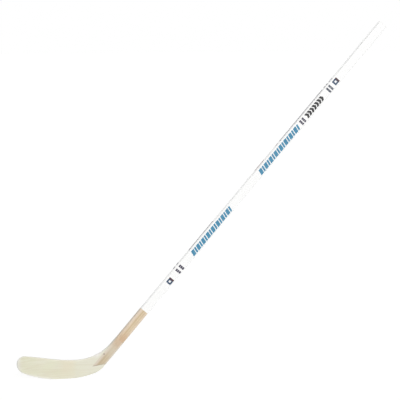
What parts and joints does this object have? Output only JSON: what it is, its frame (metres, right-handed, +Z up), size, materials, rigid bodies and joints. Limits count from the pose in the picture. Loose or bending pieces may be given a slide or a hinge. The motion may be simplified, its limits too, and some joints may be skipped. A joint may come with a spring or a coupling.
{
  "type": "wooden hockey stick",
  "caption": "Ice hockey stick with a laminated wooden shaft, a slotted heel joint and a curved blade in a fibreglass sleeve.",
  "frame": {"origin": "middle of the flat stretch of the sole, under the blade", "axes": "+Z up from the sole; X along the blade, with the toe at -X and the shaft rising to +X; -Y out of the wide front face, towards which the blade hooks"},
  "size_m": [1.2649, 0.0534, 1.1937],
  "materials": {
    "aspen": "planed, bare",
    "birch": "planed, resin coated",
    "ash": "sanded",
    "glass_facing": "white lacquer on resin",
    "fibreglass": "satin resin over glass cloth"
  },
  "bodies": {
    "root": {"shaft_core_front": "aspen", "shaft_core_back": "aspen", "shaft_centre_ply": "birch", "shaft_ply_front": "birch", "shaft_ply_back": "birch", "shaft_facing_front": "glass_facing", "shaft_facing_back": "glass_facing", "blade_core": "ash", "blade_face_front": "ash", "blade_face_back": "ash", "heel_wedge": "ash", "blade_sleeve": "fibreglass"}
  },
  "joints": []
}
